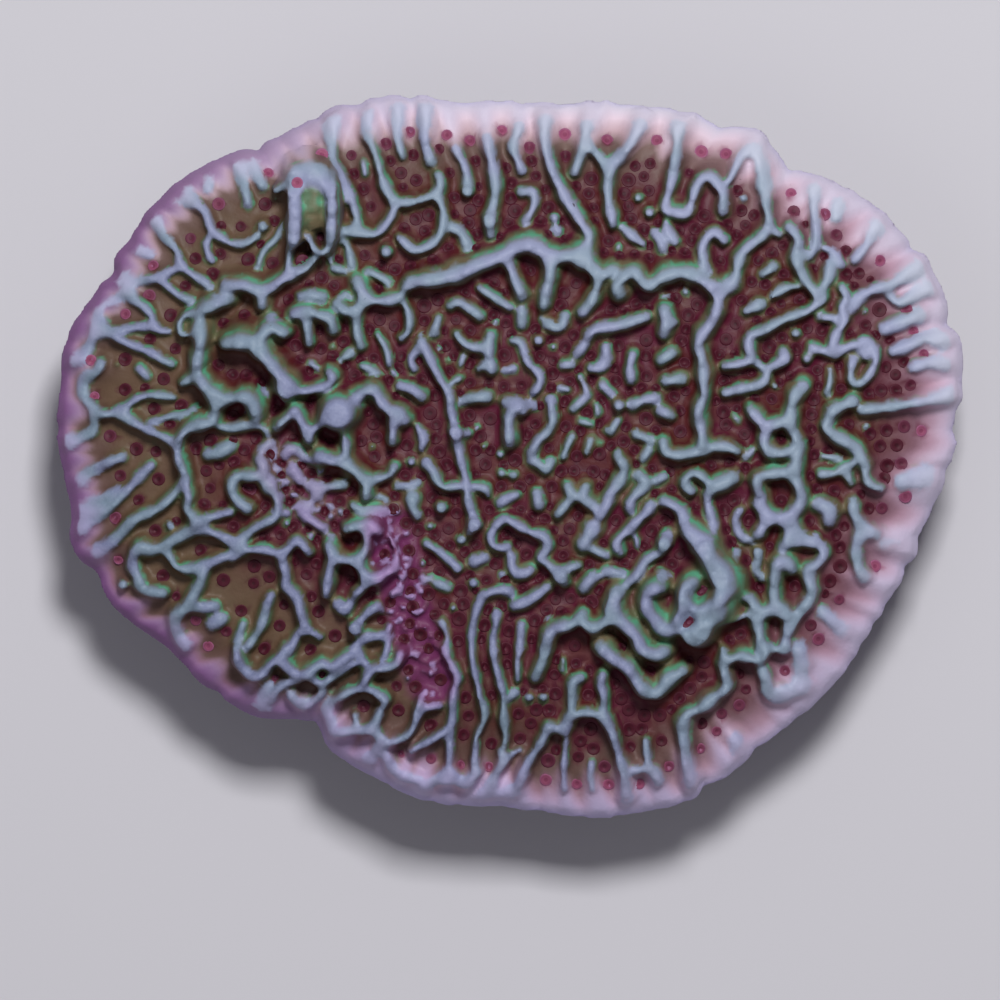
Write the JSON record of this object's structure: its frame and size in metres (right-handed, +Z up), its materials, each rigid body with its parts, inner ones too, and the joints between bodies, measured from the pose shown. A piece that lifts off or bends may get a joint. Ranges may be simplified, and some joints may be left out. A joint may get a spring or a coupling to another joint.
{
  "type": "montipora coral colony",
  "caption": "Encrusting stony coral plate with a rounded margin, meandering ridges, bars and knobs, on a flat cut foot.",
  "frame": {"origin": "centre of the flat cut foot, on the surface the colony stands on", "axes": "+Z up out of the ridged face, +X along the colony's longest way, +Y towards the picture's upper edge"},
  "size_m": [0.0579, 0.0464, 0.0155],
  "materials": {
    "living_coral_tissue": "moist living tissue over limestone skeleton: maroon valleys, green flanks, pale lilac ridge crests, pink margin"
  },
  "bodies": {
    "root": {"coral_colony": "living_coral_tissue"}
  },
  "joints": []
}
